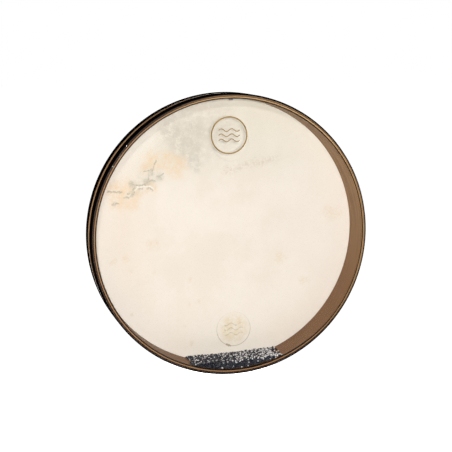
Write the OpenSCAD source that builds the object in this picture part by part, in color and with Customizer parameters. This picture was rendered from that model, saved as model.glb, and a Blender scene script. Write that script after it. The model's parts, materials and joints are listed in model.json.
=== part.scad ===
// Ocean drum: a shallow frame drum whose two heads shut in a heap of small steel balls.
// The drum's axis runs along Y. The clear head faces -Y and the skin head +Y. Up is +Z, and the
// origin is the drum's centre. The drum stands on its rim, so the balls lie at the bottom.

/* [Drum] */
// Diameter over the rear trim band
drum_d = 559; // [400:1:700]
// Depth over the two heads
drum_h = 70; // [60:1:110]

/* [Shell] */
// Thickness of the inner ply
inner_ply_t = 2.8; // [2:0.1:5]
// Thickness of the core ply
core_ply_t = 2.4; // [1.5:0.1:5]
// Thickness of the dark veneer
veneer_t = 1.1; // [0.5:0.1:3]
// Thickness of the outer ply
outer_ply_t = 2.9; // [2.7:0.1:6]
// Radius of the outer corner of both bearing edges
edge_round_r = 2.5; // [1:0.1:2.6]
// Width of the bevel on the inner corner of both bearing edges
bevel_w = 1.2; // [0.4:0.1:1.8]
// Height of that bevel along the wall
bevel_h = 3; // [1:0.1:8]
// Length of the slanted joint where the ends of a ply meet
scarf_l = 45; // [20:1:90]
// Glue line in that joint
glue_t = 0.15; // [0.1:0.01:0.3]

/* [Heads] */
// Thickness of the clear film
film_t = 0.35; // [0.25:0.05:0.7]
// Thickness of the goatskin
skin_t = 0.7; // [0.4:0.05:0.9]
// How far each head is turned down over the outer wall
collar_h = 20; // [10:1:22]

/* [Trim bands] */
// Width of each band, from the face of the drum
band_w = 26; // [24:1:28]
// Thickness of each band
band_t = 0.9; // [0.6:0.05:1.4]
// How far each band laps round the rounded corner, in degrees
band_lap = 45; // [10:1:50]
// Glue line between a band and the collar below it
band_glue_t = 0.1; // [0.05:0.01:0.2]
// Gap between the ends of a band
band_seam = 0.4; // [0.2:0.05:1]

/* [Filler plug] */
// Lean of the filling hole from the top of the drum towards +X, in degrees
plug_lean = 1.2; // [0:0.1:8]
// Diameter of the plug's shank
plug_d = 9.2; // [6:0.1:11]
// How far the plug's inner end stands in from the inner wall
plug_reach = 4.2; // [2:0.1:6]
// Length of the tapered tip
plug_tip_l = 3; // [1:0.1:4]
// Diameter of the flat end of the tip
plug_tip_d = 7.6; // [4:0.1:8.4]
// Diameter of the plug's head
plug_head_d = 13.6; // [13:0.1:15]
// Thickness of the plug's head
plug_head_t = 0.9; // [0.6:0.1:1.2]
// Clearance around the shank
plug_fit = 0.08; // [0.02:0.01:0.1]
// Wall of the bush
bush_wall = 0.9; // [0.5:0.1:1.2]
// Diameter of the bush's flange
bush_flange_d = 16.5; // [15.5:0.1:17.5]
// Thickness of the bush's flange
bush_flange_t = 0.7; // [0.5:0.1:1]
// Depth of the flange's face below the wood
bush_sink = 0.4; // [0.2:0.1:0.6]

/* [Balls] */
// Diameter of a ball
ball_d = 3; // [2.5:0.1:4]
// Height of the heap above the lowest point of the inner wall
heap_h = 17.5; // [12:0.5:30]
// Lean of the heap from the bottom of the drum towards +X, in degrees
heap_lean = 2.4; // [0:0.1:8]
// Distance between the balls that lie loose on the heap
ball_pitch = 8; // [6:0.5:14]
// Gap between the heap and what it rolls past
run_gap = 0.3; // [0.2:0.05:0.5]
// Gap between a loose ball and the balls below it
ball_seat = 0.05; // [0.02:0.01:0.1]

/* [Hidden] */
$fn = 96;
// Overrun of every cut
over = 1;
// Number of straight steps in a scarf and in a rounded corner
scarf_steps = 16;
arc_steps = 6;
// Angles about the drum's axis, clockwise from +X as seen from the front, where each strip's ends meet
inner_ply_seam = 200;
core_ply_seam = 250;
veneer_seam = 300;
outer_ply_seam = 160;
band_seam_at = 100;
// Rows of balls lie closer than the balls of one row, as in a nest of equal balls
row_share = 0.866;
// How far a loose ball strays into the free space around it
stray_share = 0.4;
// Sides of the heap's wall and groove, fine enough for so shallow a slice
heap_sides = 720;
// Sides of a ball in the preview
ball_sides = 24;

shell_r = drum_d / 2 - band_t - band_glue_t - skin_t;
veneer_r = shell_r - outer_ply_t;
core_r = veneer_r - veneer_t;
inner_ply_r = core_r - core_ply_t;
chamber_r = inner_ply_r - inner_ply_t;
front_y = film_t - drum_h / 2;
rear_y = drum_h / 2 - skin_t;
shell_h = rear_y - front_y;
corner_r = shell_r - edge_round_r;

bush_d = plug_d + 2 * plug_fit + 2 * bush_wall;
flange_z = shell_r - bush_sink;
plug_end_r = chamber_r - plug_reach;

heap_r = chamber_r - run_gap;
heap_top_z = heap_h - chamber_r;
heap_front_y = front_y + run_gap;
heap_rear_y = rear_y - run_gap;
core_top_z = heap_top_z - ball_d - ball_seat;
core_front_y = heap_front_y + ball_d + ball_seat;
ball_r = ball_d / 2;
ball_reach = heap_r - ball_r;
groove_r = plug_end_r - run_gap;
groove_w = plug_d + 2 * run_gap;
row_step = ball_pitch * row_share;
stray_x = (ball_pitch - ball_d) * stray_share;
stray_y = (row_step - ball_d) * stray_share;

// Turns a revolved or extruded shape so that its Z runs towards the back
module towards_back() {
    rotate([-90, 0, 0]) children();
}

// Sets a revolved shape on the front bearing edge, as the mirror image of one on the rear edge
module on_front_edge() {
    translate([0, front_y, 0]) mirror([0, 1, 0]) rotate([-90, 0, 0]) children();
}

// Sets a revolved shape on the rear bearing edge, its Z towards the back
module on_rear_edge() {
    translate([0, rear_y, 0]) rotate([-90, 0, 0]) children();
}

// Places what stands along +Z on the axis of the filling hole
module on_filling_hole() {
    rotate([0, plug_lean, 0]) children();
}

// The slit between the slanted ends of a strip that fills r_in to r_out
function scarf_edge(r_in, r_out, shift) = [
    for (i = [0:scarf_steps])
        let (share = i / scarf_steps,
             r = r_in - over + share * (r_out - r_in + 2 * over),
             a = (scarf_l * (share - 0.5) + shift) / r_out * 180 / PI)
        [r * cos(a), r * sin(a)]
];

function reversed(points) = [for (i = [len(points) - 1:-1:0]) points[i]];

module scarf(r_in, r_out) {
    slit = glue_t * scarf_l / (r_out - r_in);
    translate([0, 0, front_y - over])
        linear_extrude(height = shell_h + 2 * over)
            polygon(concat(scarf_edge(r_in, r_out, 0), reversed(scarf_edge(r_in, r_out, slit))));
}

// A bent strip of the shell: a revolved section with its scarf and the filling hole cut through
module strip(r_in, r_out, seam_at) {
    difference() {
        towards_back() difference() {
            rotate_extrude() children();
            rotate([0, 0, seam_at]) scarf(r_in, r_out);
        }
        on_filling_hole() translate([0, 0, r_in - over])
            cylinder(d = bush_d, h = r_out - r_in + 2 * over);
    }
}

module inner_ply() {
    color("#6b4a33") strip(chamber_r, inner_ply_r, inner_ply_seam)
        polygon([[chamber_r + bevel_w, front_y], [inner_ply_r, front_y],
                 [inner_ply_r, rear_y], [chamber_r + bevel_w, rear_y],
                 [chamber_r, rear_y - bevel_h], [chamber_r, front_y + bevel_h]]);
}

module core_ply() {
    color("#c49a68") strip(inner_ply_r, core_r, core_ply_seam)
        translate([inner_ply_r, front_y]) square([core_ply_t, shell_h]);
}

module veneer_ply() {
    color("#5b2c16") strip(core_r, veneer_r, veneer_seam)
        translate([core_r, front_y]) square([veneer_t, shell_h]);
}

// Points on a quarter of a rounded corner
function corner_arc(r, z, from) = [
    for (i = [0:arc_steps])
        let (a = from + 90 * i / arc_steps)
        [r + edge_round_r * cos(a), z + edge_round_r * sin(a)]
];

module outer_ply() {
    color("#8a6546") difference() {
        strip(veneer_r, shell_r, outer_ply_seam)
            polygon(concat([[veneer_r, front_y]],
                           corner_arc(corner_r, front_y + edge_round_r, -90),
                           corner_arc(corner_r, rear_y - edge_round_r, 0),
                           [[veneer_r, rear_y]]));
        on_filling_hole() translate([0, 0, flange_z - bush_flange_t])
            cylinder(d = bush_flange_d, h = bush_flange_t + bush_sink + over);
    }
}

// Half section of a solid disc that fills the shell's outline, grown by t, down to the given depth
module grown_section(t, depth) {
    translate([0, -depth]) square([corner_r, depth + t]);
    translate([0, -depth]) square([shell_r + t, depth - edge_round_r]);
    translate([corner_r, -edge_round_r]) circle(r = edge_round_r + t);
}

// A head of thickness t that lies over the bearing edge and down the outer wall
module head(t) {
    difference() {
        rotate_extrude() intersection() {
            grown_section(t, collar_h);
            translate([0, -collar_h]) square([shell_r + t, collar_h + t]);
        }
        rotate_extrude() intersection() {
            grown_section(0, collar_h + over);
            translate([0, -collar_h - over]) square([shell_r, collar_h + over]);
        }
    }
}

module clear_head() {
    color("#dfe6e8", 0.3) on_front_edge() head(film_t);
}

module skin_head() {
    color("#f6ebdc") on_rear_edge() head(skin_t);
}

// Section of a trim band over a head of thickness t: a flat part and a lip round the corner
module band_section(t) {
    lift = t + band_glue_t;
    reach = 2 * (edge_round_r + lift + band_t);
    translate([shell_r + lift, t - band_w]) square([band_t, band_w - t - edge_round_r]);
    translate([corner_r, -edge_round_r]) intersection() {
        difference() {
            circle(r = edge_round_r + lift + band_t);
            circle(r = edge_round_r + lift);
        }
        polygon([[0, 0], [reach, 0], [reach * cos(band_lap), reach * sin(band_lap)]]);
    }
}

module trim_band(t) {
    gap = band_seam / shell_r * 180 / PI;
    rotate([0, 0, band_seam_at]) rotate_extrude(angle = 360 - gap) band_section(t);
}

module front_trim_band() {
    color("#141210") on_front_edge() trim_band(film_t);
}

module rear_trim_band() {
    color("#141210") on_rear_edge() trim_band(skin_t);
}

// Eyelet through the plies, its flange let into the outer ply and its inner end cut to the wall
module filler_bush() {
    color("#a8a49c") difference() {
        on_filling_hole() union() {
            translate([0, 0, inner_ply_r - inner_ply_t - over])
                cylinder(d = bush_d, h = flange_z - chamber_r + over);
            translate([0, 0, flange_z - bush_flange_t]) cylinder(d = bush_flange_d, h = bush_flange_t);
        }
        on_filling_hole() translate([0, 0, chamber_r - 2 * over])
            cylinder(d = plug_d + 2 * plug_fit, h = flange_z - chamber_r + 3 * over);
        translate([0, -drum_h / 2, 0]) towards_back() cylinder(r = chamber_r, h = drum_h);
    }
}

module filler_plug() {
    shank_z = plug_end_r + plug_tip_l;
    color("#7d7373") on_filling_hole() union() {
        translate([0, 0, plug_end_r]) cylinder(d1 = plug_tip_d, d2 = plug_d, h = plug_tip_l);
        translate([0, 0, shank_z]) cylinder(d = plug_d, h = flange_z - shank_z);
        translate([0, 0, flange_z]) cylinder(d = plug_head_d, h = plug_head_t);
    }
}

// The inside of the heap, as one solid: a slice of the chamber below a level top, with a groove
// that lets it roll past the plug's inner end
module ball_heap() {
    color("#4a4c50") rotate([0, -heap_lean, 0]) difference() {
        translate([0, core_front_y, 0]) towards_back()
            linear_extrude(height = heap_rear_y - core_front_y) intersection() {
                circle(r = heap_r, $fn = heap_sides);
                translate([-heap_r, -core_top_z]) square([2 * heap_r, heap_r]);
            }
        translate([0, -groove_w / 2, 0]) towards_back() difference() {
            cylinder(r = heap_r + over, h = groove_w);
            translate([0, 0, -over]) cylinder(r = groove_r, h = groove_w + 2 * over, $fn = heap_sides);
        }
    }
}

// Half the width of the heap at a height z, for the centres of whole balls
function heap_half_w(z) = sqrt(ball_reach * ball_reach - z * z);

// True where a ball would meet the plug's inner end as the heap rolls round
function meets_plug(x, y, z) =
    norm([x, z]) + ball_r > groove_r && abs(y) < groove_w / 2 + ball_r;

// A row of loose balls across the heap, each a little out of line. Every other row is set half a
// step aside.
module ball_row(y, z, row, stray_y) {
    aside = row % 2 * ball_pitch / 2;
    half_w = heap_half_w(z);
    first_x = aside - floor((half_w + aside) / ball_pitch) * ball_pitch;
    count = floor((half_w - first_x) / ball_pitch);
    strays = rands(-1, 1, 2 * count + 2, row + 1);
    for (i = [0:count]) {
        x = first_x + i * ball_pitch + strays[2 * i] * stray_x;
        ball_y = y + abs(strays[2 * i + 1]) * stray_y;
        if (abs(x) <= half_w && !meets_plug(x, ball_y, z))
            translate([x, ball_y, z]) sphere(r = ball_r, $fn = ball_sides);
    }
}

module loose_balls() {
    top_z = heap_top_z - ball_r;
    front_row_y = heap_front_y + ball_r;
    top_room = heap_rear_y - stray_y - ball_r - front_row_y;
    top_rows = floor(top_room / row_step);
    top_step = top_room / top_rows;
    front_rows = floor((ball_reach + top_z) / row_step);
    color("#8c8f94") rotate([0, -heap_lean, 0]) {
        for (row = [0:top_rows]) ball_row(front_row_y + row * top_step, top_z, row, stray_y);
        for (row = [1:front_rows]) ball_row(front_row_y, top_z - row * row_step, top_rows + row, 0);
    }
}

inner_ply();
core_ply();
veneer_ply();
outer_ply();
clear_head();
skin_head();
front_trim_band();
rear_trim_band();
filler_bush();
filler_plug();
ball_heap();
loose_balls();
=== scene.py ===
"""An ocean drum: a clear head and a goatskin head on a bent shell, with steel balls between them."""

import json
import math
import random

import bmesh
import bpy
import numpy as np
from mathutils import Matrix, Vector, kdtree, noise


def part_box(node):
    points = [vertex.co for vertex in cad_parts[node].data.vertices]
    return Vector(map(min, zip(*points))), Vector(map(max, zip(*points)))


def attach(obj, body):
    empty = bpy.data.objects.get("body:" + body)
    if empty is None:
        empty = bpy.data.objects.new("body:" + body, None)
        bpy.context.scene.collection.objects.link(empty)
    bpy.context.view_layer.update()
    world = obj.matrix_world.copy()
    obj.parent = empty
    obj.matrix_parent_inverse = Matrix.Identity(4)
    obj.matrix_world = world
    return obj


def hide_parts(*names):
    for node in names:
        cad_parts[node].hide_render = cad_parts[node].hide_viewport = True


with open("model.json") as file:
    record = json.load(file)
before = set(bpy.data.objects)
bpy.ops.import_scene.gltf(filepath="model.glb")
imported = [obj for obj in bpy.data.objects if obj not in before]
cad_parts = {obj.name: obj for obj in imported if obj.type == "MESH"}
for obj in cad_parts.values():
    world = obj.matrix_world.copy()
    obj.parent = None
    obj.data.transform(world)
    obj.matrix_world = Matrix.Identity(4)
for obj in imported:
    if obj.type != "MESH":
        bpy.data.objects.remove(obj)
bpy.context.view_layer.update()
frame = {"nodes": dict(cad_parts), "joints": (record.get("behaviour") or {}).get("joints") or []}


# Camera. It stands a little to the left of the drum's axis and above it, far enough off for the
# drum to look nearly flat, and aims close to the drum's centre. The picture is 452 pixels wide.
mm = 0.001
picture_px = 452
focal_px = 1170
camera_left = math.radians(14.85)
camera_up = math.radians(9.00)
camera_away = 2328 * mm
aim_right = -4.35 * mm
aim_up = 15.20 * mm


def facing_drum(thing, left, up, away, aim=(0, 0)):
    """Stands a lamp or camera before the drum, at angles to the left of its axis and above it.
    aim shifts the point it looks at to the right and up."""
    back = Vector((-math.sin(left) * math.cos(up), -math.cos(left) * math.cos(up), math.sin(up)))
    right = Vector((0, 0, 1)).cross(back).normalized()
    target = right * aim[0] + back.cross(right) * aim[1]
    thing.location = back * away
    thing.rotation_euler = (back * away - target).to_track_quat("Z", "Y").to_euler()
    bpy.context.scene.collection.objects.link(thing)


camera = bpy.data.objects.new("camera", bpy.data.cameras.new("camera"))
camera.data.sensor_width = 36
camera.data.lens = focal_px * camera.data.sensor_width / picture_px
facing_drum(camera, camera_left, camera_up, camera_away, (aim_right, aim_up))
bpy.context.scene.camera = camera
bpy.context.scene.view_settings.view_transform = "Standard"


# Studio. A pale floor far below the drum, white air all round, a large lamp near the camera, a
# small one above it that draws the rim's shadow on the skin, and soft lamps at the left and behind.
floor_z = -1.0
floor_half_w = 40
air_light = 0.1
floor_glow = 1.0


class Wire:
    """A socket in a node tree. Arithmetic on it adds Math nodes, and node() adds any other kind."""

    def __init__(self, tree, socket=None):
        self.tree = tree
        self.socket = socket

    def node(self, kind, settings=None, **given):
        """A new node. Its settings are set first, then its sockets get values or links. A name
        takes _ for a space, and a list fills the sockets that share one name."""
        made = self.tree.nodes.new(kind)
        for name, setting in (settings or {}).items():
            setattr(made, name, setting)
        for name, values in given.items():
            places = [s for s in made.inputs if s.enabled and s.name == name.replace("_", " ")]
            values = values if isinstance(values, list) else [values]
            for place, value in zip(places, values, strict=False):
                if isinstance(value, Wire):
                    self.tree.links.new(value.socket, place)
                else:
                    place.default_value = value
        return Wire(self.tree, next((s for s in made.outputs if s.enabled), None))

    def out(self, name):
        """Another output of the same node."""
        return Wire(self.tree, self.socket.node.outputs[name])

    def math(self, operation, first, second):
        return self.node("ShaderNodeMath", {"operation": operation}, Value=[first, second])

    def __add__(self, other):
        return self.math("ADD", self, other)

    def __radd__(self, other):
        return self.math("ADD", other, self)

    def __sub__(self, other):
        return self.math("SUBTRACT", self, other)

    def __rsub__(self, other):
        return self.math("SUBTRACT", other, self)

    def __mul__(self, other):
        return self.math("MULTIPLY", self, other)

    def __rmul__(self, other):
        return self.math("MULTIPLY", other, self)

    def __truediv__(self, other):
        return self.math("DIVIDE", self, other)

    def __pow__(self, other):
        return self.math("POWER", self, other)


def paint(code):
    """A colour as it is seen, such as 8b6a4c, in the linear values that shaders take."""
    parts = [int(code[i:i + 2], 16) / 255 for i in (0, 2, 4)]
    return tuple(p / 12.92 if p <= 0.04045 else ((p + 0.055) / 1.055) ** 2.4 for p in parts) + (1,)


def new_finish(name):
    """An empty material and the wire that starts its nodes."""
    finish = bpy.data.materials.new(name)
    finish.use_nodes = True
    finish.node_tree.nodes.clear()
    return finish, Wire(finish.node_tree)


def softbox(name, left, up, away, width, height, share):
    """A lamp that adds this share of full light to a surface facing it."""
    lamp = bpy.data.lights.new(name, "AREA")
    lamp.shape = "RECTANGLE"
    lamp.size = width
    lamp.size_y = height
    lamp.energy = share * (math.pi * away) ** 2
    facing_drum(bpy.data.objects.new(name, lamp), math.radians(left), math.radians(up), away)


softbox("front_lamp", left=12, up=8.5, away=2.9, width=0.34, height=0.3, share=0.64)
softbox("shadow_lamp", left=17, up=19.5, away=3.0, width=0.09, height=0.09, share=0.145)
softbox("left_lamp", left=80, up=2, away=4.0, width=1.6, height=1.8, share=0.6)
softbox("rear_lamp", left=200, up=-9, away=2.8, width=1.4, height=0.8, share=0.75)

air = bpy.data.worlds.new("air")
bpy.context.scene.world = air
air.use_nodes = True
air.node_tree.nodes.clear()
start = Wire(air.node_tree)
ray = start.node("ShaderNodeLightPath")
seen = ray.out("Is Camera Ray")
light = start.node("ShaderNodeBackground", Color=(1, 1, 1, 1),
                   Strength=seen * (1 - air_light) + air_light)
start.node("ShaderNodeOutputWorld", Surface=light)

floor_mesh = bpy.data.meshes.new("floor")
corner_signs = ((-1, -1), (1, -1), (1, 1), (-1, 1))
floor_corners = [(x * floor_half_w, y * floor_half_w, floor_z) for x, y in corner_signs]
floor_mesh.from_pydata(floor_corners, [], [(0, 1, 2, 3)])
floor = bpy.data.objects.new("floor", floor_mesh)
bpy.context.scene.collection.objects.link(floor)
floor_finish, start = new_finish("pale_floor")
ray = start.node("ShaderNodeLightPath")
seen = ray.out("Is Camera Ray")
glow = start.node("ShaderNodeEmission", Color=(1, 1, 1, 1), Strength=seen * floor_glow)
matt = start.node("ShaderNodeBsdfDiffuse", Color=paint("f2f2f0"))
start.node("ShaderNodeOutputMaterial", Surface=start.node("ShaderNodeAddShader", Shader=[matt, glow]))
floor_mesh.materials.append(floor_finish)


# Inner ply. The innermost of four strips of wood that are steamed, bent round a form and glued.
# Its ends meet in a long slant, its edges are bevelled towards the chamber, and its face is lacquered.
bevel_w = 1.2 * mm
bevel_h = 3 * mm
ease_r = 0.25 * mm
scarf_l = 45 * mm
slit_w = 0.05 * mm
edge_margin = 0.5 * mm
ply_step = 1.0
arc_step = math.radians(12)
hoop_steps = 384
sharp_from = math.radians(32)
inner_seam = math.radians(200)
inner_line = (269.7 * mm, 2.8 * mm, "140a05")
right_shift = 1.8 * mm
left_shift = 0.7 * mm
cut_from_r = 268.2 * mm
cut_fade = 0.4 * mm
filler_steps = 72
bush_wall = 0.9 * mm
flange_t = 0.7 * mm
filler_axis = Vector(next(j["axis"] for j in frame["joints"] if j["name"] == "plug_pull")).normalized()


def reach(node, axis=Vector((0, 1, 0))):
    """Least and greatest distance of a node's corners from an axis through the drum's centre."""
    corners = [v.co for v in frame["nodes"][node].data.vertices]
    away = [(c - axis * c.dot(axis)).length for c in corners]
    return min(away), max(away)


def rounded(*corners):
    """An outline through corners of (x, y, rounding), with an arc at each rounded one."""
    points = []
    for i, (x, y, rounding) in enumerate(corners):
        corner = Vector((x, y))
        if not rounding:
            points.append(corner)
            continue
        back = (Vector(corners[i - 1][:2]) - corner).normalized()
        ahead = (Vector(corners[(i + 1) % len(corners)][:2]) - corner).normalized()
        half = back.angle(ahead) / 2
        centre = corner + (back + ahead).normalized() * (rounding / math.sin(half))
        first = corner + back * (rounding / math.tan(half)) - centre
        last = corner + ahead * (rounding / math.tan(half)) - centre
        turn = first.angle(last)
        steps = max(2, round(turn / arc_step))
        for s in range(steps + 1):
            spoke = first * math.sin(turn * (1 - s / steps)) + last * math.sin(turn * s / steps)
            points.append(centre + spoke / math.sin(turn))
    return points


def divided(points, longest, closed=True):
    """An outline with points close to both ends of each long run, and further ones between them."""
    runs = list(zip(points, points[1:] + points[:1]))
    if not closed:
        runs.pop()
    result = []
    for here, there in runs:
        length = (there - here).length
        result.append(here)
        if length > 3 * edge_margin:
            count = math.ceil((length - 2 * edge_margin) / longest)
            inside = [edge_margin + i * (length - 2 * edge_margin) / count for i in range(count + 1)]
            result += [here.lerp(there, s / length) for s in inside]
    return result if closed else result + [points[-1]]


def geometry_tree(name, inputs):
    """A node group with a Geometry output, and the wire that starts its nodes."""
    tree = bpy.data.node_groups.new(name, "GeometryNodeTree")
    for label, kind in inputs.items():
        tree.interface.new_socket(label, in_out="INPUT", socket_type="NodeSocket" + kind)
    tree.interface.new_socket("Geometry", in_out="OUTPUT", socket_type="NodeSocketGeometry")
    return tree, Wire(tree)


# The outline is swept along a straight line first and then bent round the axis, as a real strip
# is, so that its ends can slant.
bend_inputs = {"Outline": "Geometry", "Steps": "Int", "Seam": "Float", "Slit": "Float", "Scarf": "Float",
               "Inner": "Float", "Outer": "Float", "Ends": "Bool", "Finish": "Material"}
bend_tree, start = geometry_tree("bent_strip", bend_inputs)
given = start.node("NodeGroupInput")
section = start.node("GeometryNodeMeshToCurve", Mesh=given.out("Outline"))
section = start.node("GeometryNodeStoreNamedAttribute", {"data_type": "FLOAT_VECTOR"}, Geometry=section,
                     Name="place", Value=start.node("GeometryNodeInputPosition"))
line = start.node("GeometryNodeCurvePrimitiveLine", End=(0, 0, 1))
line = start.node("GeometryNodeResampleCurve", Curve=line, Count=given.out("Steps"))
line = start.node("GeometryNodeStoreNamedAttribute", {"data_type": "FLOAT"}, Geometry=line,
                  Name="along", Value=start.node("GeometryNodeSplineParameter"))
strip = start.node("GeometryNodeCurveToMesh", Curve=line, Profile_Curve=section,
                   Fill_Caps=given.out("Ends"))
place = start.node("GeometryNodeInputNamedAttribute", {"data_type": "FLOAT_VECTOR"}, Name="place")
along = start.node("GeometryNodeInputNamedAttribute", {"data_type": "FLOAT"}, Name="along")
radius = start.node("ShaderNodeSeparateXYZ", Vector=place)
depth = radius.out("Y")
share = (radius - given.out("Inner")) / (given.out("Outer") - given.out("Inner"))
angle = (given.out("Seam") + given.out("Slit") + given.out("Scarf") * (share - 0.5)
         + along * (math.tau - given.out("Slit")))
cosine = start.node("ShaderNodeMath", {"operation": "COSINE"}, Value=angle)
sine = start.node("ShaderNodeMath", {"operation": "SINE"}, Value=angle)
place = start.node("ShaderNodeCombineXYZ", X=radius * cosine, Y=depth, Z=radius * sine * -1)
strip = start.node("GeometryNodeSetPosition", Geometry=strip, Position=place)
strip = start.node("GeometryNodeMergeByDistance", Geometry=strip, Distance=1e-6)
for spent in ("place", "along"):
    strip = start.node("GeometryNodeRemoveAttribute", Geometry=strip, Name=spent)
strip = start.node("GeometryNodeRealizeInstances", Geometry=strip)
strip = start.node("GeometryNodeSetMaterial", Geometry=strip, Material=given.out("Finish"))
start.node("NodeGroupOutput", Geometry=strip)


def worked(piece):
    """Turns a piece's modifiers into its plain mesh, its faces outwards and its edges crisp."""
    view = bpy.context.evaluated_depsgraph_get()
    mesh = bpy.data.meshes.new_from_object(piece.evaluated_get(view), depsgraph=view)
    piece.modifiers.clear()
    piece.data = mesh
    solid = bmesh.new()
    solid.from_mesh(mesh)
    bmesh.ops.recalc_face_normals(solid, faces=solid.faces)
    solid.to_mesh(mesh)
    solid.free()
    mesh.shade_smooth()
    mesh.set_sharp_from_angle(angle=sharp_from)
    return piece


def by_nodes(name, mesh, tree, **values):
    """A piece made from a mesh by a geometry tree, its inputs set before it is first evaluated."""
    piece = bpy.data.objects.new(name, mesh)
    bpy.context.scene.collection.objects.link(piece)
    making = piece.modifiers.new("making", "NODES")
    making.node_group = tree
    for item in tree.interface.items_tree:
        if item.in_out == "INPUT" and item.name in values:
            making[item.identifier] = values[item.name]
    return worked(piece)


def bent(name, outline, finish, seam=0.0, slit=0.0, scarf=0.0, span=(0.0, 1.0), steps=hoop_steps,
         closed=True):
    """An outline of (distance from the axis, y) swept once round the drum's axis. With a slit it is
    a strip with two ends. An outline that isn't closed runs from the axis to the axis."""
    count = len(outline)
    mesh = bpy.data.meshes.new(name)
    mesh.from_pydata([(r, y, 0) for r, y in outline],
                     [(i, (i + 1) % count) for i in range(count if closed else count - 1)], [])
    return by_nodes(name, mesh, bend_tree, Steps=steps + 1, Seam=seam, Slit=slit, Scarf=scarf,
                    Inner=span[0], Outer=span[1], Ends=slit > 0, Finish=finish)


def on_filler(name, outline, finish, closed):
    """A small shape turned about the axis of the filling hole, its outline along that axis."""
    piece = bent(name, outline, finish, steps=filler_steps, closed=closed)
    piece.data.transform(Vector((0, 1, 0)).rotation_difference(filler_axis).to_matrix().to_4x4())
    return piece


def ply(node, outline, finish, seam):
    """One strip of the shell, with its slanted ends and the filling hole cut through it."""
    inner, outer = reach(node)
    slit = slit_w * scarf_l / (outer - inner) / outer
    strip = bent("shell_" + node, divided(outline, ply_step), finish, seam, slit, scarf_l / outer,
                 (inner, outer))
    cut = strip.modifiers.new("filling_hole", "BOOLEAN")
    cut.object = filler_cutter
    worked(strip)
    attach(strip, "drum")
    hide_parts(node)
    return strip


def between(value, low, high):
    """0 below low, 1 above high and smooth in between."""
    return value.node("ShaderNodeMapRange", {"interpolation_type": "SMOOTHSTEP"}, Value=value,
                      From_Min=low, From_Max=high)


def mixed(factor, first, second):
    """first where the factor is 0, second where it is 1."""
    return factor.node("ShaderNodeMix", {"data_type": "RGBA"}, Factor=factor, A=first, B=second)


def wood(name, pale, deep, low, edge, painted_shade_colour, lines):
    """Lacquered wood with its grain round the drum. It has the colour low towards the bottom. Where
    it faces the front or the rear it has painted light and shade: it goes from edge, a colour painted
    as if lit, at the upper right to a darker painted shade colour at the lower left, with dark lines
    of (radius, width, colour). These lie a little further out at both sides, most at the right,
    because the shell's edge wasn't cut quite round."""
    finish, start = new_finish(name)
    place = start.node("ShaderNodeTexCoord").out("Object")
    x = start.node("ShaderNodeSeparateXYZ", Vector=place)
    y, z = x.out("Y"), x.out("Z")
    radius = (x * x + z * z) ** 0.5
    across = y + radius

    def grained(run, fine, detail):
        spot = start.node("ShaderNodeCombineXYZ", X=x * run, Y=across * fine, Z=z * run)
        return start.node("ShaderNodeTexNoise", Vector=spot, Scale=1.0, Detail=detail, Roughness=0.6)

    figure = grained(7, 130, 3)
    streaks = grained(22, 900, 4)
    pores = between(grained(110, 2600, 2), 0.6, 0.72)
    tone = between(figure * 0.5 + streaks * 0.5, 0.36, 0.64)
    colour = mixed(tone, paint(deep), paint(pale))
    low_colour = mixed(tone, paint(deep), paint(low))
    colour = mixed(between(z * -1 + figure * 0.1, -0.02, 0.2) * 0.8, colour, low_colour)
    colour = mixed(pores * 0.45, colour, paint(deep))
    # Painted light and shade on the faces at the front and rear: the lit colour to the upper right,
    # painted shade to the lower left.
    end_grain_and_painted_light = mixed(between(x * 0.7 + z * 0.6, 0.0, 0.18), paint(painted_shade_colour), paint(edge))
    end_grain_and_painted_light = mixed(streaks * 0.25, end_grain_and_painted_light, paint(deep))
    to_right = between(x / radius, 0.4, 1.0) * right_shift
    to_left = between(x / radius * -1, 0.2, 0.8) * left_shift
    seen_r = radius - to_right - to_left
    for line_r, line_w, line_colour in lines:
        off_line = start.math("ABSOLUTE", seen_r - line_r, 0)
        end_grain_and_painted_light = mixed(between(off_line, 0.35 * line_w, 0.55 * line_w), paint(line_colour), end_grain_and_painted_light)
    normal = start.node("ShaderNodeTexCoord").out("Normal")
    facing = start.node("ShaderNodeSeparateXYZ", Vector=normal).out("Y")
    cut = between(facing * facing, 0.02, 0.12) * between(seen_r, cut_from_r, cut_from_r + cut_fade)
    colour = mixed(cut, colour, end_grain_and_painted_light)
    bump = start.node("ShaderNodeBump", Strength=0.5, Distance=0.05 * mm, Height=streaks - pores)
    shader = start.node("ShaderNodeBsdfPrincipled", Base_Color=colour, Roughness=0.5 + streaks * 0.12,
                        Specular_IOR_Level=0.3, Normal=bump)
    start.node("ShaderNodeOutputMaterial", Surface=shader)
    return finish


chamber_r, inner_ply_r = reach("inner_ply")
front_y, rear_y = (corner.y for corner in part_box("inner_ply"))
bore_r, flange_r = reach("filler_bush", filler_axis)
flange_top = max(v.co.dot(filler_axis) for v in frame["nodes"]["filler_bush"].data.vertices)
tube_r = bore_r + bush_wall
flange_under = flange_top - flange_t
cutter_outline = [Vector(point) for point in
                  ((0, 0), (tube_r, 0), (tube_r, flange_under), (flange_r, flange_under),
                   (flange_r, 2 * flange_top), (0, 2 * flange_top))]
filler_cutter = on_filler("filler_cutter", cutter_outline, None, closed=False)
inner_outline = rounded((chamber_r + bevel_w, front_y, ease_r), (inner_ply_r, front_y, ease_r),
                        (inner_ply_r, rear_y, ease_r), (chamber_r + bevel_w, rear_y, ease_r),
                        (chamber_r, rear_y - bevel_h, ease_r), (chamber_r, front_y + bevel_h, ease_r))
walnut = wood("walnut", "a58056", "7c5a38", "7e5430", "c29a6a", "9c7248", [inner_line])
inner_ply = ply("inner_ply", inner_outline, walnut, inner_seam)


# Core ply. A pale strip of the same depth, glued round the inner ply. Only its front edge shows,
# as a light line in the rim.
core_seam = math.radians(250)
core_line = (273.5 * mm, 1.6 * mm, "2a0e03")


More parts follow.
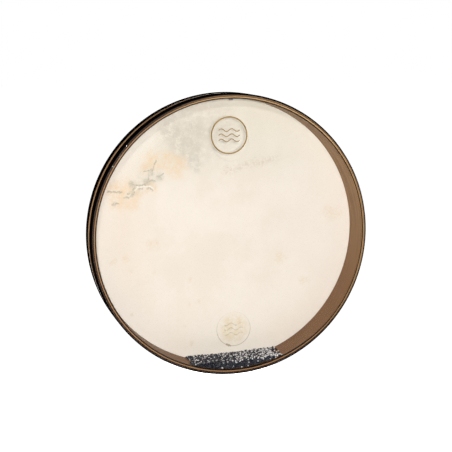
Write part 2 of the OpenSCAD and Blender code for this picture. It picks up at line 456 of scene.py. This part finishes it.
def square_edged(node):
    inner, outer = reach(node)
    return rounded((inner, front_y, ease_r), (outer, front_y, ease_r), (outer, rear_y, ease_r),
                   (inner, rear_y, ease_r))


maple = wood("maple", "c9a274", "a9825a", "c9a274", "dcb27c", "a87c4e", [inner_line, core_line])
core_ply = ply("core_ply", square_edged("core_ply"), maple, core_seam)


# Veneer ply. A thin strip of dark red veneer, glued between the core and the outer ply. Only its
# front edge shows, as a dark line in the rim.
veneer_seam = math.radians(300)
veneer_r, shell_r = reach("outer_ply")
dark_veneer = wood("dark_veneer", "4a1e0a", "2a0e04", "4a1e0a", "a07a50", "240a02", [])
veneer_ply = ply("veneer_ply", square_edged("veneer_ply"), dark_veneer, veneer_seam)


# Outer ply. A brown strip whose two outer corners are rounded, so that the heads bend softly
# over them. It shows as a stripe between the trim bands.
corner_round = 2.5 * mm
outer_seam = math.radians(160)
outer_lines = [(274.6 * mm, 1.1 * mm, "2a0e03"), (278.0 * mm, 5.4 * mm, "080503")]
outer_outline = rounded((veneer_r, front_y, ease_r), (shell_r, front_y, corner_round),
                        (shell_r, rear_y, corner_round), (veneer_r, rear_y, ease_r))
outer_wood = wood("outer_wood", "cfa274", "8a6442", "b08258", "a8865e", "3c2c1c", outer_lines)
outer_ply = ply("outer_ply", outer_outline, outer_wood, outer_seam)
bpy.data.objects.remove(filler_cutter)


# Filler bush. A satin nickel eyelet through the four plies, with its flange let into the outer
# one. The balls go in through it.
flange_round = 0.3 * mm
tube_round = 0.1 * mm


def nickel():
    finish, start = new_finish("nickel")
    place = start.node("ShaderNodeTexCoord").out("Object")
    scratches = start.node("ShaderNodeTexNoise", Vector=place, Scale=900.0, Detail=3.0)
    smears = start.node("ShaderNodeTexNoise", Vector=place, Scale=160.0, Detail=2.0)
    colour = mixed(smears, paint("a9a49b"), paint("c9c5bd"))
    bump = start.node("ShaderNodeBump", Strength=0.3, Distance=0.02 * mm, Height=scratches)
    shader = start.node("ShaderNodeBsdfPrincipled", Base_Color=colour, Metallic=1.0,
                        Roughness=0.24 + scratches * 0.2, Normal=bump)
    start.node("ShaderNodeOutputMaterial", Surface=shader)
    return finish


bush_outline = rounded((bore_r, chamber_r, tube_round), (tube_r, chamber_r, tube_round),
                       (tube_r, flange_under, 0), (flange_r, flange_under, 0),
                       (flange_r, flange_top, flange_round), (bore_r, flange_top, flange_round))
bush = on_filler("filler_bush_eyelet", bush_outline, nickel(), closed=True)
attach(bush, "drum")
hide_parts("filler_bush")


# Filler plug. A moulded grey rubber plug with a flat head, pushed into the bush from outside. Its
# tapered end stands a little way into the chamber at the top.
plug_tip_l = 3 * mm
plug_tip_r = 3.8 * mm
plug_shank_r = 4.6 * mm
plug_round = 0.5 * mm
plug_step = 2 * mm


def grey_rubber():
    finish, start = new_finish("grey_rubber")
    place = start.node("ShaderNodeTexCoord").out("Object")
    dust = between(start.node("ShaderNodeTexNoise", Vector=place, Scale=420.0, Detail=4.0), 0.45, 0.75)
    colour = mixed(dust, paint("857b7b"), paint("9f9595"))
    bump = start.node("ShaderNodeBump", Strength=0.4, Distance=0.04 * mm, Height=dust)
    shader = start.node("ShaderNodeBsdfPrincipled", Base_Color=colour, Roughness=0.62 + dust * 0.2,
                        Specular_IOR_Level=0.35, Normal=bump)
    start.node("ShaderNodeOutputMaterial", Surface=shader)
    return finish


plug_along = [v.co.dot(filler_axis) for v in frame["nodes"]["filler_plug"].data.vertices]
plug_end, plug_top = min(plug_along), max(plug_along)
plug_head_r = reach("filler_plug", filler_axis)[1]
plug_outline = rounded((0, plug_end, 0), (plug_tip_r, plug_end, plug_round),
                       (plug_shank_r, plug_end + plug_tip_l, plug_round),
                       (plug_shank_r, flange_top, 0), (plug_head_r, flange_top, 0),
                       (plug_head_r, plug_top, plug_round), (0, plug_top, 0))
plug_outline = divided(plug_outline, plug_step, closed=False)
plug = on_filler("filler_plug_rubber", plug_outline, grey_rubber(), closed=False)
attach(plug, "plug")
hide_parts("filler_plug")


# Skin head. A goatskin stretched over the rear bearing edge and glued to the outer wall. It is cream,
# clouded grey and rust near the top left, with the veins of the hide. A roundel printed on its rear
# face shows through near the bottom.
skin_step = 6 * mm
collar_round = 0.1 * mm
swell_h = 0.35 * mm
swell_l = 130 * mm
swell_r = 242 * mm
clouds = [(-104, 200, 28), (-84, 178, 32), (-64, 168, 26), (-62, 148, 20), (-60, 208, 28),
          (-50, 134, 14)]
rusts = [(-144, 144, 28), (-118, 146, 26), (-156, 134, 20), (-98, 136, 34), (-206, 90, 30),
         (-212, 68, 28), (-190, 66, 24), (-226, 92, 22), (-180, 84, 20), (-150, 92, 18)]
flecks = [(-193, -74, 7), (-228, -54, 9), (-143, -79, 6), (-70, -98, 7), (-48, -143, 7), (-78, -149, 6),
          (-82, -189, 5), (-68, -230, 8), (-188, -160, 6), (-189, -187, 6), (-142, -22, 16),
          (-201, -47, 12), (229, 30, 22), (120, -60, 16), (170, -110, 14)]
stains = [(-152, 112, 30), (-174, 98, 20)]
veins = [[(-138, 146), (-142, 136), (-145, 127), (-152, 117), (-154, 108), (-157, 102)],
         [(-161, 126), (-153, 126), (-146, 128)],
         [(-157, 102), (-150, 106), (-140, 106)],
         [(-138, 114), (-131, 114), (-124, 119)],
         [(-192, 103), (-186, 101), (-178, 98), (-170, 98), (-160, 99)],
         [(-181, 93), (-187, 85), (-196, 81)],
         [(-182, 85), (-186, 78), (-193, 74), (-202, 74)],
         [(-236, 87), (-222, 86), (-207, 85)],
         [(-226, 60), (-222, 64), (-214, 63)],
         [(-172, 90), (-166, 91)],
         [(-156, 91), (-150, 92), (-146, 86)]]
smudges = [(-186, 101, 9), (-157, 104, 10), (-131, 113, 10), (-148, 122, 8), (-185, 80, 6),
           (-222, 62, 6)]
# Pale lines beside the veins, partly paler hide and partly painted highlight.
pale_lines_and_highlights = [[(-176, 93), (-168, 95), (-158, 96), (-150, 96), (-145, 90)], [(-180, 90), (-176, 94)]]
smear = [(4, 121), (62, 141), (104, 140)]
tint_place = (-58 * mm, 0, 206 * mm)
rear_print_place = (20.5 * mm, 0, -203.5 * mm)
blot = [(6, -235), (13, -238)]
ring_r = 35.4 * mm
wave_l = 42 * mm
wave_rise = 2.6 * mm
wave_gap = 10 * mm


def vector_math(operation, *vectors, **more):
    wire = next(v for v in vectors if isinstance(v, Wire))
    return wire.node("ShaderNodeVectorMath", {"operation": operation}, Vector=list(vectors), **more)


def largest(factors):
    total = factors[0]
    for factor in factors[1:]:
        total = total.math("MAXIMUM", total, factor)
    return total


def spots(place, marks):
    """1 at the middle of each (x, z, radius) mark in millimetres, falling to 0 at its radius."""
    return largest([1 - between(vector_math("DISTANCE", place, (x * mm, 0, z * mm)), 0.25 * radius * mm,
                                1.15 * radius * mm) for x, z, radius in marks])


def strokes(place, lines, core, edge):
    """1 along the lines through (x, z) points in millimetres, falling to 0 between core and edge."""
    factors = []
    for line in lines:
        for (x, z), (to_x, to_z) in zip(line, line[1:]):
            run = Vector(((to_x - x) * mm, 0, (to_z - z) * mm))
            from_start = vector_math("SUBTRACT", place, (x * mm, 0, z * mm))
            along = vector_math("DOT_PRODUCT", from_start, tuple(run))
            share = place.node("ShaderNodeMath", {"operation": "MULTIPLY", "use_clamp": True},
                               Value=[along, 1 / run.length_squared])
            nearest = place.node("ShaderNodeVectorMath", {"operation": "SCALE"}, Vector=tuple(run),
                                 Scale=share)
            factors.append(1 - between(vector_math("DISTANCE", from_start, nearest), core, edge))
    return largest(factors)


def rear_print(colour, place, jagged, mottle, crumbs):
    """Adds to the skin's colour what shows of the print on its rear face: a yellowish disc, a thin
    ring that is clearest at the bottom, a blot of ink and three waves."""
    x = place.node("ShaderNodeSeparateXYZ", Vector=vector_math("SUBTRACT", place, rear_print_place))
    z = x.out("Z")
    away = (x * x + z * z) ** 0.5
    disc = (1 - between(away, 20 * mm, 38 * mm)) * between(mottle * 0.6 + crumbs * 0.4, 0.38, 0.58)
    colour = mixed(disc * 0.55, colour, paint("e6d0a4"))
    ring = 1 - between(x.math("ABSOLUTE", away - ring_r, 0), 0.2 * mm, 1.1 * mm)
    ring = ring * between(z * -1 + crumbs * 0.04, -0.03, 0.05)
    colour = mixed(ring * 0.6, colour, paint("a59670"))
    colour = mixed(strokes(jagged, [blot], 0.8 * mm, 3 * mm) * 0.6, colour, paint("9c8350"))
    swing = x.node("ShaderNodeMath", {"operation": "SINE"}, Value=x * (2 * math.tau / wave_l))
    half_l, half_h = wave_l / 2, wave_gap * 1.5
    off_wave = x.math("PINGPONG", z + swing * wave_rise + half_h, wave_gap / 2)
    waves = between(off_wave, wave_gap / 2 - 1.6 * mm, wave_gap / 2 - 0.3 * mm)
    waves = waves * (1 - between(x.math("ABSOLUTE", x, 0), half_l - 3 * mm, half_l))
    waves = waves * (1 - between(x.math("ABSOLUTE", z, 0), half_h - 2 * mm, half_h))
    return mixed(waves * between(crumbs, 0.35, 0.6) * 0.4, colour, paint("8f7a4c"))


def goatskin():
    """The hide's colour from the broad to the fine: its cream ground, greyer towards the top, partly as
    painted shade under the rim, with painted light next to the wall at the left, then the clouds and
    rust, the flecks, the veins with pale lines beside them, partly painted highlight, the crumpled
    surface and the print behind it."""
    finish, start = new_finish("goatskin")
    place = start.node("ShaderNodeTexCoord").out("Object")
    place = vector_math("MULTIPLY", place, (1, 0, 1))
    x = start.node("ShaderNodeSeparateXYZ", Vector=place)
    z = x.out("Z")

    def cloudy(scale, detail, roughness=0.55, at=place):
        return start.node("ShaderNodeTexNoise", Vector=at, Scale=scale, Detail=detail,
                          Roughness=roughness)

    def astray(scale, amount):
        push = vector_math("SUBTRACT", cloudy(scale, 3).out("Color"), (0.5, 0.5, 0.5))
        push = vector_math("MULTIPLY", push, (amount, 0, amount))
        return vector_math("ADD", place, push)

    broad = cloudy(9, 4)
    mottle = cloudy(70, 6, 0.7)
    fine = cloudy(420, 4, 0.7)
    loose = astray(30, 34 * mm)
    jagged = astray(190, 9 * mm)
    crumbs = cloudy(150, 6, 0.75, at=astray(45, 60 * mm))
    colour = mixed(between(broad, 0.35, 0.65), paint("f9f0e4"), paint("f4e9db"))
    colour = mixed(between(x * -1, 0.1, 0.26) * 0.75, colour, paint("f6e6d3"))
    colour = mixed(between(x, 0.05, 0.25) * 0.8, colour, paint("fbf3e8"))
    # Greyer and darker towards the top: partly grey in the hide, partly painted shade from the rim
    # above.
    colour = mixed(between(z + broad * 0.12, 0.1, 0.32) * 0.75, colour, paint("eae6d5"))
    colour = mixed(between(z * -1, 0.05, 0.26) * 0.7, colour, paint("fdf4e6"))
    # Painted light on the skin next to the wall at the left, paler where the rim's shade falls.
    painted_light_by_wall = between((x * x + z * z) ** 0.5, 0.19, 0.265) * between(z * 0.3 - x, 0.0, 0.16)
    colour = mixed(painted_light_by_wall * 0.5, colour, paint("fffcf5"))
    tint = 1 - between(vector_math("DISTANCE", loose, tint_place), 44 * mm, 104 * mm)
    colour = mixed(tint * between(mottle, 0.25, 0.6) * 0.6, colour, paint("dcd4c6"))
    rust = spots(astray(60, 16 * mm), rusts)
    rust = rust * between(mottle * 0.5 + crumbs * 0.5, 0.36, 0.62)
    colour = mixed(rust * 0.8, colour, paint("f3d6ae"))
    cloud = spots(loose, clouds) * between(crumbs * 0.6 + mottle * 0.4, 0.4, 0.54)
    colour = mixed(cloud * 0.55, colour, paint("cdc7ba"))
    smeared = strokes(loose, [smear], 1 * mm, 14 * mm) * between(crumbs, 0.45, 0.6)
    colour = mixed(smeared * 0.6, colour, paint("d9cbb6"))
    fleck = spots(loose, flecks) * between(crumbs, 0.4, 0.6)
    colour = mixed(fleck * 0.5, colour, paint("ecd6b4"))
    stained = spots(loose, stains) * between(mottle, 0.3, 0.6)
    colour = mixed(stained * 0.4, colour, paint("d6cfbe"))
    vein = strokes(jagged, veins, 0.3 * mm, 2.6 * mm) * between(crumbs, 0.36, 0.54)
    vein = vein.math("MAXIMUM", vein, spots(jagged, smudges) * between(crumbs, 0.3, 0.55) * 0.7)
    colour = mixed(vein * 0.72, colour, paint("aba68f"))
    # Pale lines beside the veins: partly paler hide, partly painted highlight along their ridges.
    colour = mixed(strokes(jagged, pale_lines_and_highlights, 0.2 * mm, 1.8 * mm) * 0.8, colour, paint("fffdf6"))
    crumpled = between(crumbs * 0.5 + fine * 0.5, 0.34, 0.66)
    colour = mixed(crumpled * 0.16, colour, paint("d8c8b0"))
    colour = rear_print(colour, place, jagged, mottle, crumbs)
    bump = start.node("ShaderNodeBump", Strength=0.35, Distance=0.08 * mm, Height=fine + mottle * 0.6)
    shader = start.node("ShaderNodeBsdfPrincipled", Base_Color=colour, Roughness=0.6 + fine * 0.12,
                        Specular_IOR_Level=0.25, Normal=bump)
    start.node("ShaderNodeOutputMaterial", Surface=shader)
    return finish


skin_out_r = reach("skin_head")[1]
collar_y, skin_out_y = (corner.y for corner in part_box("skin_head"))
skin_t = skin_out_y - rear_y
skin_outline = rounded((0, rear_y, 0), (shell_r, rear_y, corner_round),
                       (shell_r, collar_y, collar_round), (skin_out_r, collar_y, collar_round),
                       (skin_out_r, skin_out_y, corner_round + skin_t), (0, skin_out_y, 0))
skin = bent("goatskin_head", divided(skin_outline, skin_step, closed=False), goatskin(), closed=False)
for corner in skin.data.vertices:
    away = math.hypot(corner.co.x, corner.co.z)
    if away < swell_r:
        fade = 1 - (away / swell_r) ** 4
        corner.co.y += swell_h * fade * noise.noise(corner.co / swell_l)
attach(skin, "drum")
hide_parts("skin_head")


# Loose balls. Some thousands of steel balls, dark with age, that roll in the chamber and lie in a
# heap at its lowest place. Those that show are fine, and those inside the heap are plain. Some of
# the balls that show are painted near white as painted highlights.
ball_r = 1.5 * mm
ball_pitch = 3.3 * mm
ball_stray = 1.1 * mm
run_gap = 0.3 * mm
heap_lean = math.radians(2.4)
heap_rough = 0.9 * mm
rough_scale = 90
heap_climb = 1.8 * mm
heap_seed = 8
settle_rounds = 30
shown_depth = 3.2 * mm
half_heap = 100 * mm
top_layer = 2.4 * mm
glint_half_w = 75 * mm
clump_scale = 270
glint_seed = 11


def steel_shot():
    finish, start = new_finish("steel_shot")
    painted_glint = start.node("ShaderNodeAttribute", {"attribute_name": "painted_glint"}).out("Fac")
    # Painted highlight: the glinting balls are painted near white and less metallic, the others are dark
    # steel.
    colour = mixed(painted_glint, paint("1e2432"), paint("fffcfc"))
    shader = start.node("ShaderNodeBsdfPrincipled", Base_Color=colour, Metallic=0.85 - painted_glint * 0.75,
                        Roughness=0.45 - painted_glint * 0.2)
    start.node("ShaderNodeOutputMaterial", Surface=shader)
    return finish


turn_heap = Matrix.Rotation(-heap_lean, 4, "Y")
heap_up = turn_heap @ Vector((0, 0, 1))
heap_top = max(v.co.dot(heap_up) for v in frame["nodes"]["loose_balls"].data.vertices)
plug_groove_r = plug_end - run_gap
plug_groove_half_w = plug_shank_r + run_gap


def heap_of_centres():
    """Places for the balls in the heap's own level frame: a nest of rows that climbs a little towards
    both ends, shaken and pushed apart."""
    draw = random.Random(heap_seed)
    ball_reach = chamber_r - run_gap - ball_r
    low_y, high_y = front_y + run_gap + ball_r, rear_y - run_gap - ball_r
    row_step = ball_pitch * math.sqrt(3) / 2
    layer_step = ball_pitch * math.sqrt(2 / 3)
    top = heap_top - ball_r
    half_w = math.sqrt(ball_reach ** 2 - (top + heap_climb) ** 2)
    centres = []
    for layer in range(math.ceil((ball_reach + top) / layer_step) + 1):
        for row in range(math.floor((high_y - low_y) / row_step) + 1):
            for column in range(-math.ceil(half_w / ball_pitch), math.ceil(half_w / ball_pitch) + 1):
                place = np.array([(column + row % 2 / 2 + layer % 2 / 2) * ball_pitch,
                                  low_y + (row + layer % 2 / 3) * row_step,
                                  top - layer * layer_step])
                centres.append(place + [draw.uniform(-ball_stray, ball_stray) for _ in range(3)])
    centres = np.array(centres)
    centres[:, 2] += [heap_rough * noise.noise((x * rough_scale, y * rough_scale, 0))
                      for x, y, z in centres]
    centres[:, 2] += heap_climb * (centres[:, 0] / half_w) ** 2
    centres = centres[np.hypot(centres[:, 0], centres[:, 2]) < ball_reach + ball_r / 2]
    tree = kdtree.KDTree(len(centres))
    for i, centre in enumerate(centres):
        tree.insert(centre, i)
    tree.balance()
    pairs = np.array([(i, j) for i, centre in enumerate(centres)
                      for _, j, _ in tree.find_range(centre, 2 * ball_r + 4 * ball_stray) if j > i])
    for _ in range(settle_rounds):
        gap = centres[pairs[:, 1]] - centres[pairs[:, 0]]
        apart = np.linalg.norm(gap, axis=1)
        push = gap / apart[:, None] * np.maximum(2 * ball_r - apart, 0)[:, None] / 2
        np.add.at(centres, pairs[:, 1], push)
        np.add.at(centres, pairs[:, 0], -push)
        away = np.hypot(centres[:, 0], centres[:, 2])
        centres[:, [0, 2]] *= np.minimum(1, ball_reach / away)[:, None]
        centres[:, 1] = np.clip(centres[:, 1], low_y, high_y)
    away = np.hypot(centres[:, 0], centres[:, 2])
    in_groove = (away + ball_r > plug_groove_r) & (abs(centres[:, 1]) < plug_groove_half_w + ball_r)
    return centres[~in_groove]


shot_inputs = {"Centres": "Geometry", "Radius": "Float", "Fineness": "Int", "Finish": "Material"}
shot_tree, start = geometry_tree("shot", shot_inputs)
given = start.node("NodeGroupInput")
ball = start.node("GeometryNodeMeshIcoSphere", Radius=given.out("Radius"),
                  Subdivisions=given.out("Fineness"))
balls = start.node("GeometryNodeInstanceOnPoints", Points=given.out("Centres"), Instance=ball)
balls = start.node("GeometryNodeRealizeInstances", Geometry=balls)
balls = start.node("GeometryNodeSetMaterial", Geometry=balls, Material=given.out("Finish"))
start.node("NodeGroupOutput", Geometry=balls)


def shot(name, centres, fineness, finish):
    """Balls about these centres, most dark and some painted near white as painted highlights, in small
    clumps, more of these on top and to the right, where the light falls."""
    draw = random.Random(glint_seed)
    mesh = bpy.data.meshes.new(name)
    mesh.from_pydata([turn_heap @ Vector(centre) for centre in centres], [], [])
    painted_glints = []
    for x, y, z in centres:
        on_top = z - heap_climb * (x / half_heap) ** 2 > heap_top - ball_r - top_layer
        glint_threshold = 0.21 - 0.2 * min(1, max(-0.5, x / glint_half_w)) if on_top else 0.42
        clump = noise.noise((x * clump_scale, y * clump_scale, z * clump_scale))
        glinting = clump + draw.uniform(-0.12, 0.12) > glint_threshold
        painted_glints.append(draw.uniform(0.7, 1.0) if glinting else draw.uniform(0.0, 0.1))
    mesh.attributes.new("painted_glint", "FLOAT", "POINT").data.foreach_set("value", painted_glints)
    piece = by_nodes(name, mesh, shot_tree, Radius=ball_r, Fineness=fineness, Finish=finish)
    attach(piece, "balls")
    return piece


centres = heap_of_centres()
on_top = centres[:, 2] > heap_top - ball_r - shown_depth
at_film = centres[:, 1] < front_y + run_gap + shown_depth
shows = on_top | at_film
shot_finish = steel_shot()
shown_balls = shot("shot_on_the_heap", centres[shows], 2, shot_finish)
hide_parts("loose_balls", "ball_heap")
shot("shot_in_the_heap", centres[~shows], 1, shot_finish)


# Clear head. A tough clear film over the front bearing edge, formed hot so that its collar fits
# the outer wall. Its face shows only by a faint gloss.
wood_gap = 0.03 * mm
film_step = 40 * mm


def clear_film():
    finish, start = new_finish("clear_film")
    gloss = start.node("ShaderNodeBsdfGlossy", Roughness=0.04)
    clear = start.node("ShaderNodeBsdfTransparent")
    edge = start.node("ShaderNodeLayerWeight", Blend=0.1)
    place = start.node("ShaderNodeTexCoord").out("Object")
    haze = between(start.node("ShaderNodeTexNoise", Vector=place, Scale=14.0, Detail=3.0), 0.3, 0.8)
    shader = start.node("ShaderNodeMixShader", Fac=edge + haze * 0.004, Shader=[clear, gloss])
    start.node("ShaderNodeOutputMaterial", Surface=shader)
    return finish


film_y, film_collar_y = (corner.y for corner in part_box("clear_head"))
film_out_r = reach("clear_head")[1]
film_in_r, film_in_y = shell_r + wood_gap, front_y - wood_gap
film_outline = rounded((0, film_y, 0), (film_out_r, film_y, corner_round + film_in_y - film_y),
                       (film_out_r, film_collar_y, collar_round),
                       (film_in_r, film_collar_y, collar_round),
                       (film_in_r, film_in_y, corner_round), (0, film_in_y, 0))
film_outline = divided(film_outline, film_step, closed=False)
film = bent("clear_film_head", film_outline, clear_film(), closed=False)
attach(film, "drum")
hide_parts("clear_head")


# Trim bands. Black satin tape glued round both collars, with a lip that laps the rounded corner.
# The ends of each tape meet at the bottom of the drum.
band_t = 0.9 * mm
band_slit = 0.4 * mm
band_seam = math.radians(100)
band_lap = math.radians(45)
band_step = 2 * mm
threads_round = 2900
thread_pitch = 0.6 * mm


def arc(x, y, radius, first, last):
    """Points on a part of a circle."""
    steps = max(2, math.ceil(abs(last - first) / arc_step))
    angles = [first + (last - first) * i / steps for i in range(steps + 1)]
    return [Vector((x + radius * math.cos(a), y + radius * math.sin(a))) for a in angles]


def black_tape():
    finish, start = new_finish("black_trim")
    place = start.node("ShaderNodeTexCoord").out("Object")
    x = start.node("ShaderNodeSeparateXYZ", Vector=place)
    warp = start.node("ShaderNodeMath", {"operation": "SINE"},
                      Value=start.math("ARCTAN2", x.out("Z"), x) * threads_round)
    weft = start.node("ShaderNodeMath", {"operation": "SINE"},
                      Value=x.out("Y") * (math.tau / thread_pitch))
    threads = warp * weft
    worn = between(start.node("ShaderNodeTexNoise", Vector=place, Scale=60.0, Detail=5.0), 0.5, 0.8)
    colour = mixed(worn * 0.5 + threads * 0.15, paint("050302"), paint("100c0a"))
    shader = start.node("ShaderNodeBsdfPrincipled", Base_Color=colour, Roughness=0.6 + worn * 0.15,
                        Specular_IOR_Level=0.0)
    start.node("ShaderNodeOutputMaterial", Surface=shader)
    return finish


def trim_band(node, edge_y, outwards, finish):
    """A band drawn at a distance h outwards from the shell's edge, then set at the front or rear."""
    under = reach(node)[1] - band_t
    foot = min(outwards * (corner.y - edge_y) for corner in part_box(node))
    middle_x, middle_h = shell_r - corner_round, -corner_round
    bend = under - middle_x
    half_t = band_t / 2
    lap = band_lap - math.asin(half_t / (bend + half_t))
    lip_x = middle_x + (bend + half_t) * math.cos(lap)
    lip_h = middle_h + (bend + half_t) * math.sin(lap)
    outline = (arc(middle_x, middle_h, bend, 0, lap)
               + arc(lip_x, lip_h, half_t, lap + math.pi, lap)[1:-1]
               + arc(middle_x, middle_h, bend + band_t, lap, 0)
               + arc(under + half_t, foot + half_t, half_t, 0, -math.pi))
    outline = [Vector((r, edge_y + outwards * h)) for r, h in outline]
    band = bent(node + "_tape", divided(outline, band_step), finish, band_seam, band_slit / shell_r)
    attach(band, "drum")
    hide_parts(node)


tape_finish = black_tape()
trim_band("front_trim_band", front_y, -1, tape_finish)
trim_band("rear_trim_band", rear_y, 1, tape_finish)


# Print. A gold roundel near the top of the clear head, a ring with three waves in it. It is thin
# ink, printed on the film's inner face.
print_place = Vector((-7.3 * mm, 0, 198.3 * mm))
print_t = 0.03 * mm
ring_w = 2.4 * mm
wave_w = 1.5 * mm
wave_count = 3
ring_steps = 120
wave_steps = 60


def gold_ink():
    finish, start = new_finish("gold_ink")
    place = start.node("ShaderNodeTexCoord").out("Object")
    uneven = start.node("ShaderNodeTexNoise", Vector=place, Scale=500.0, Detail=3.0)
    colour = mixed(uneven, paint("8f6c14"), paint("a8842a"))
    shader = start.node("ShaderNodeBsdfPrincipled", Base_Color=colour, Roughness=0.5)
    start.node("ShaderNodeOutputMaterial", Surface=shader)
    return finish


ink_tree, start = geometry_tree("ink", {"Lines": "Geometry", "Width": "Float", "Thickness": "Float",
                                        "Finish": "Material"})
given = start.node("NodeGroupInput")
lines = start.node("GeometryNodeMeshToCurve", Mesh=given.out("Lines"))
lines = start.node("GeometryNodeSetCurveNormal", {"mode": "Z_UP"}, Curve=lines)
stroke = start.node("GeometryNodeCurvePrimitiveQuadrilateral", Width=given.out("Width"),
                    Height=given.out("Thickness"))
ink = start.node("GeometryNodeCurveToMesh", Curve=lines, Profile_Curve=stroke, Fill_Caps=True)
ink = start.node("GeometryNodeTransform", Geometry=ink, Rotation=(math.pi / 2, 0, 0))
ink = start.node("GeometryNodeRealizeInstances", Geometry=ink)
ink = start.node("GeometryNodeSetMaterial", Geometry=ink, Material=given.out("Finish"))
start.node("NodeGroupOutput", Geometry=ink)


def inked(name, points, closed, width, finish):
    """A printed line through (x, z) points about the roundel's centre, on the film's inner face."""
    count = len(points)
    mesh = bpy.data.meshes.new(name)
    mesh.from_pydata([(x, z, 0) for x, z in points],
                     [(i, (i + 1) % count) for i in range(count - 1 + closed)], [])
    line = by_nodes(name, mesh, ink_tree, Width=width, Thickness=print_t, Finish=finish)
    line.data.transform(Matrix.Translation(print_place + Vector((0, film_in_y + print_t / 2, 0))))
    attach(line, "drum")


ink_finish = gold_ink()
turns = [math.tau * step / ring_steps for step in range(ring_steps)]
ring = [(ring_r * math.cos(turn), ring_r * math.sin(turn)) for turn in turns]
inked("print_ring", ring, True, ring_w, ink_finish)
shares = [step / wave_steps for step in range(wave_steps + 1)]
for i in range(wave_count):
    height = (i - (wave_count - 1) / 2) * wave_gap
    wave = [((share - 0.5) * wave_l, height + wave_rise * math.sin(share * 2 * math.tau))
            for share in shares]
    inked(f"print_wave_{i + 1}", wave, False, wave_w, ink_finish)
